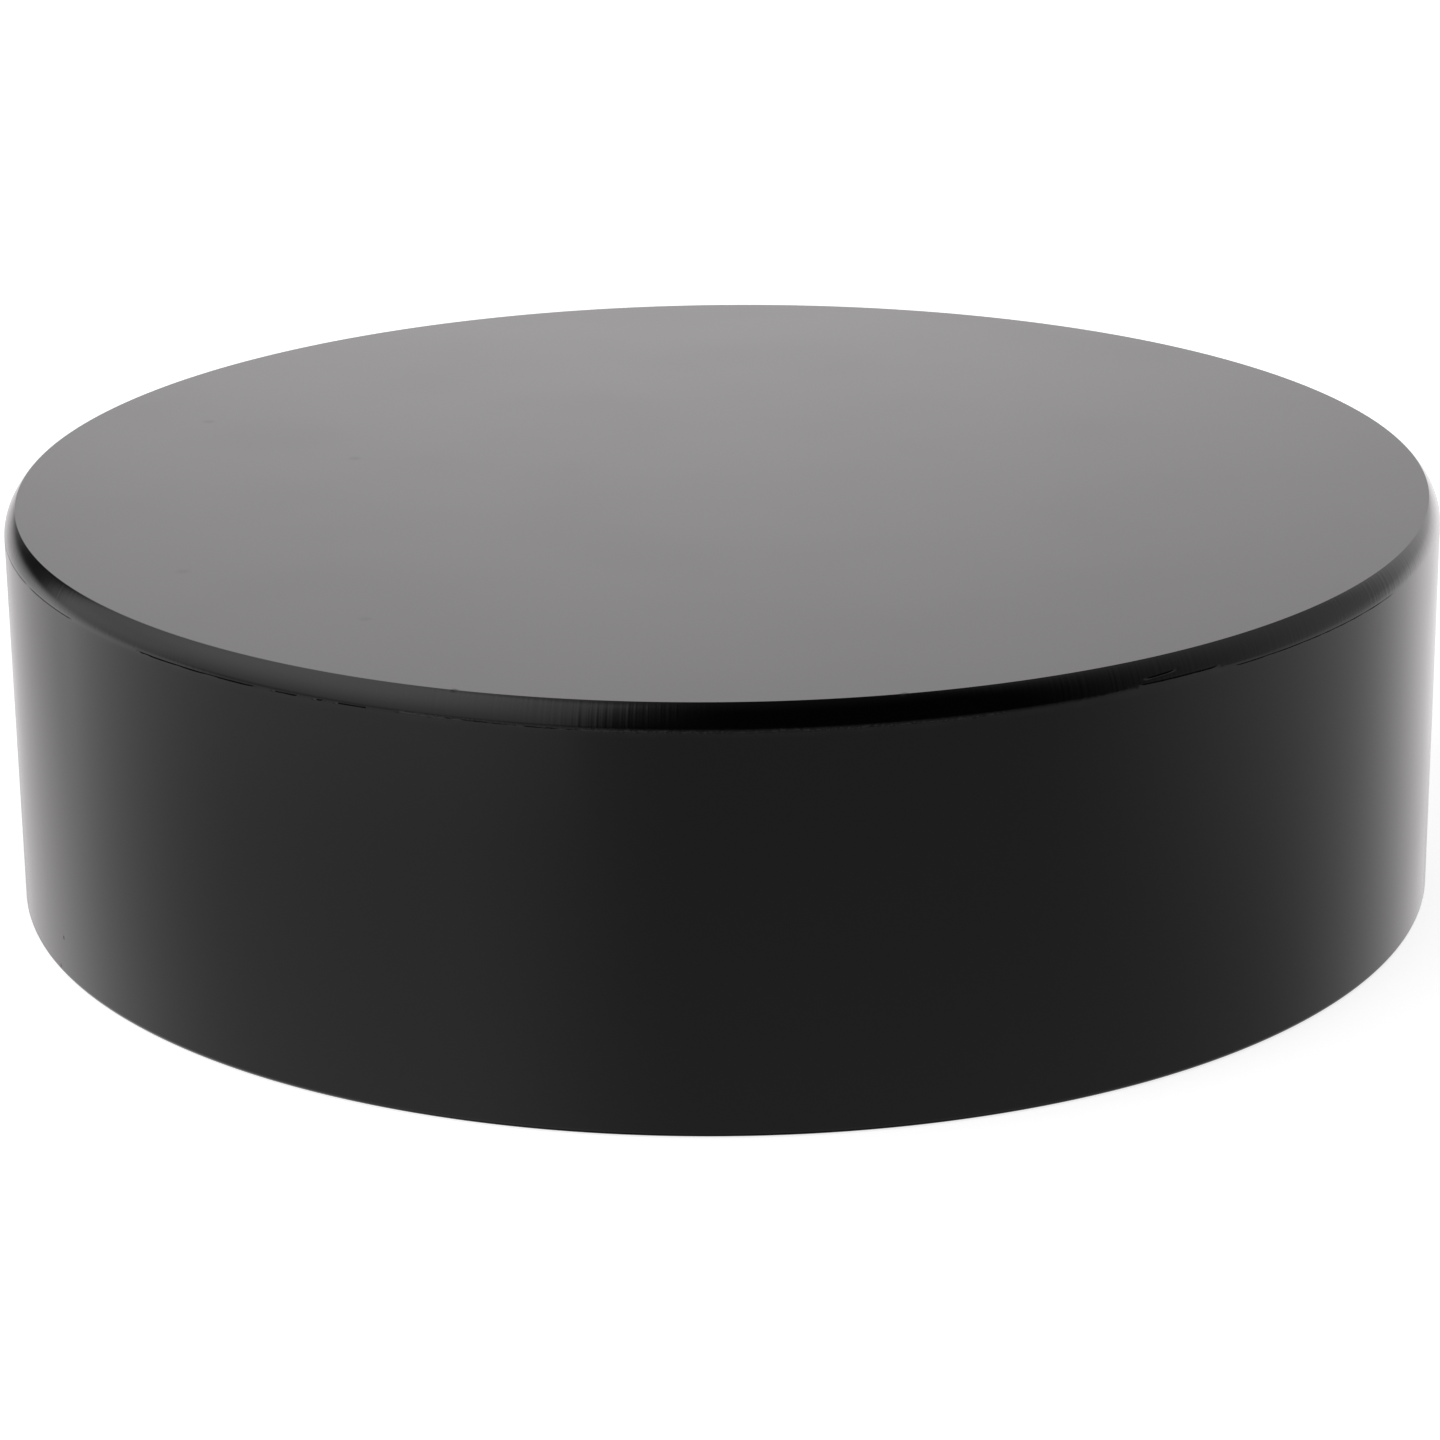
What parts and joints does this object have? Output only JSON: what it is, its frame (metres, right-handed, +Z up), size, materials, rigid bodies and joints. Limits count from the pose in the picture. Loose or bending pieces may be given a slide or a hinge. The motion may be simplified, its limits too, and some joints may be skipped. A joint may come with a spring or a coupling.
{
  "type": "hockey puck",
  "caption": "Solid black rubber disc with flat faces, a smooth upright wall and a narrow rounded shoulder round its top rim; it slides flat on ice and is struck with a stick.",
  "frame": {"origin": "centre of the flat bottom face, on the puck's axis", "axes": "+Z up along the puck's axis, from the bottom face to the top face with the rounded shoulder; X and Y lie in the bottom face, and the puck is the same all the way round"},
  "size_m": [0.0762, 0.0762, 0.0216],
  "materials": {
    "hard_rubber": "smooth, glossy black"
  },
  "bodies": {
    "root": {"puck_body": "hard_rubber"}
  },
  "joints": []
}
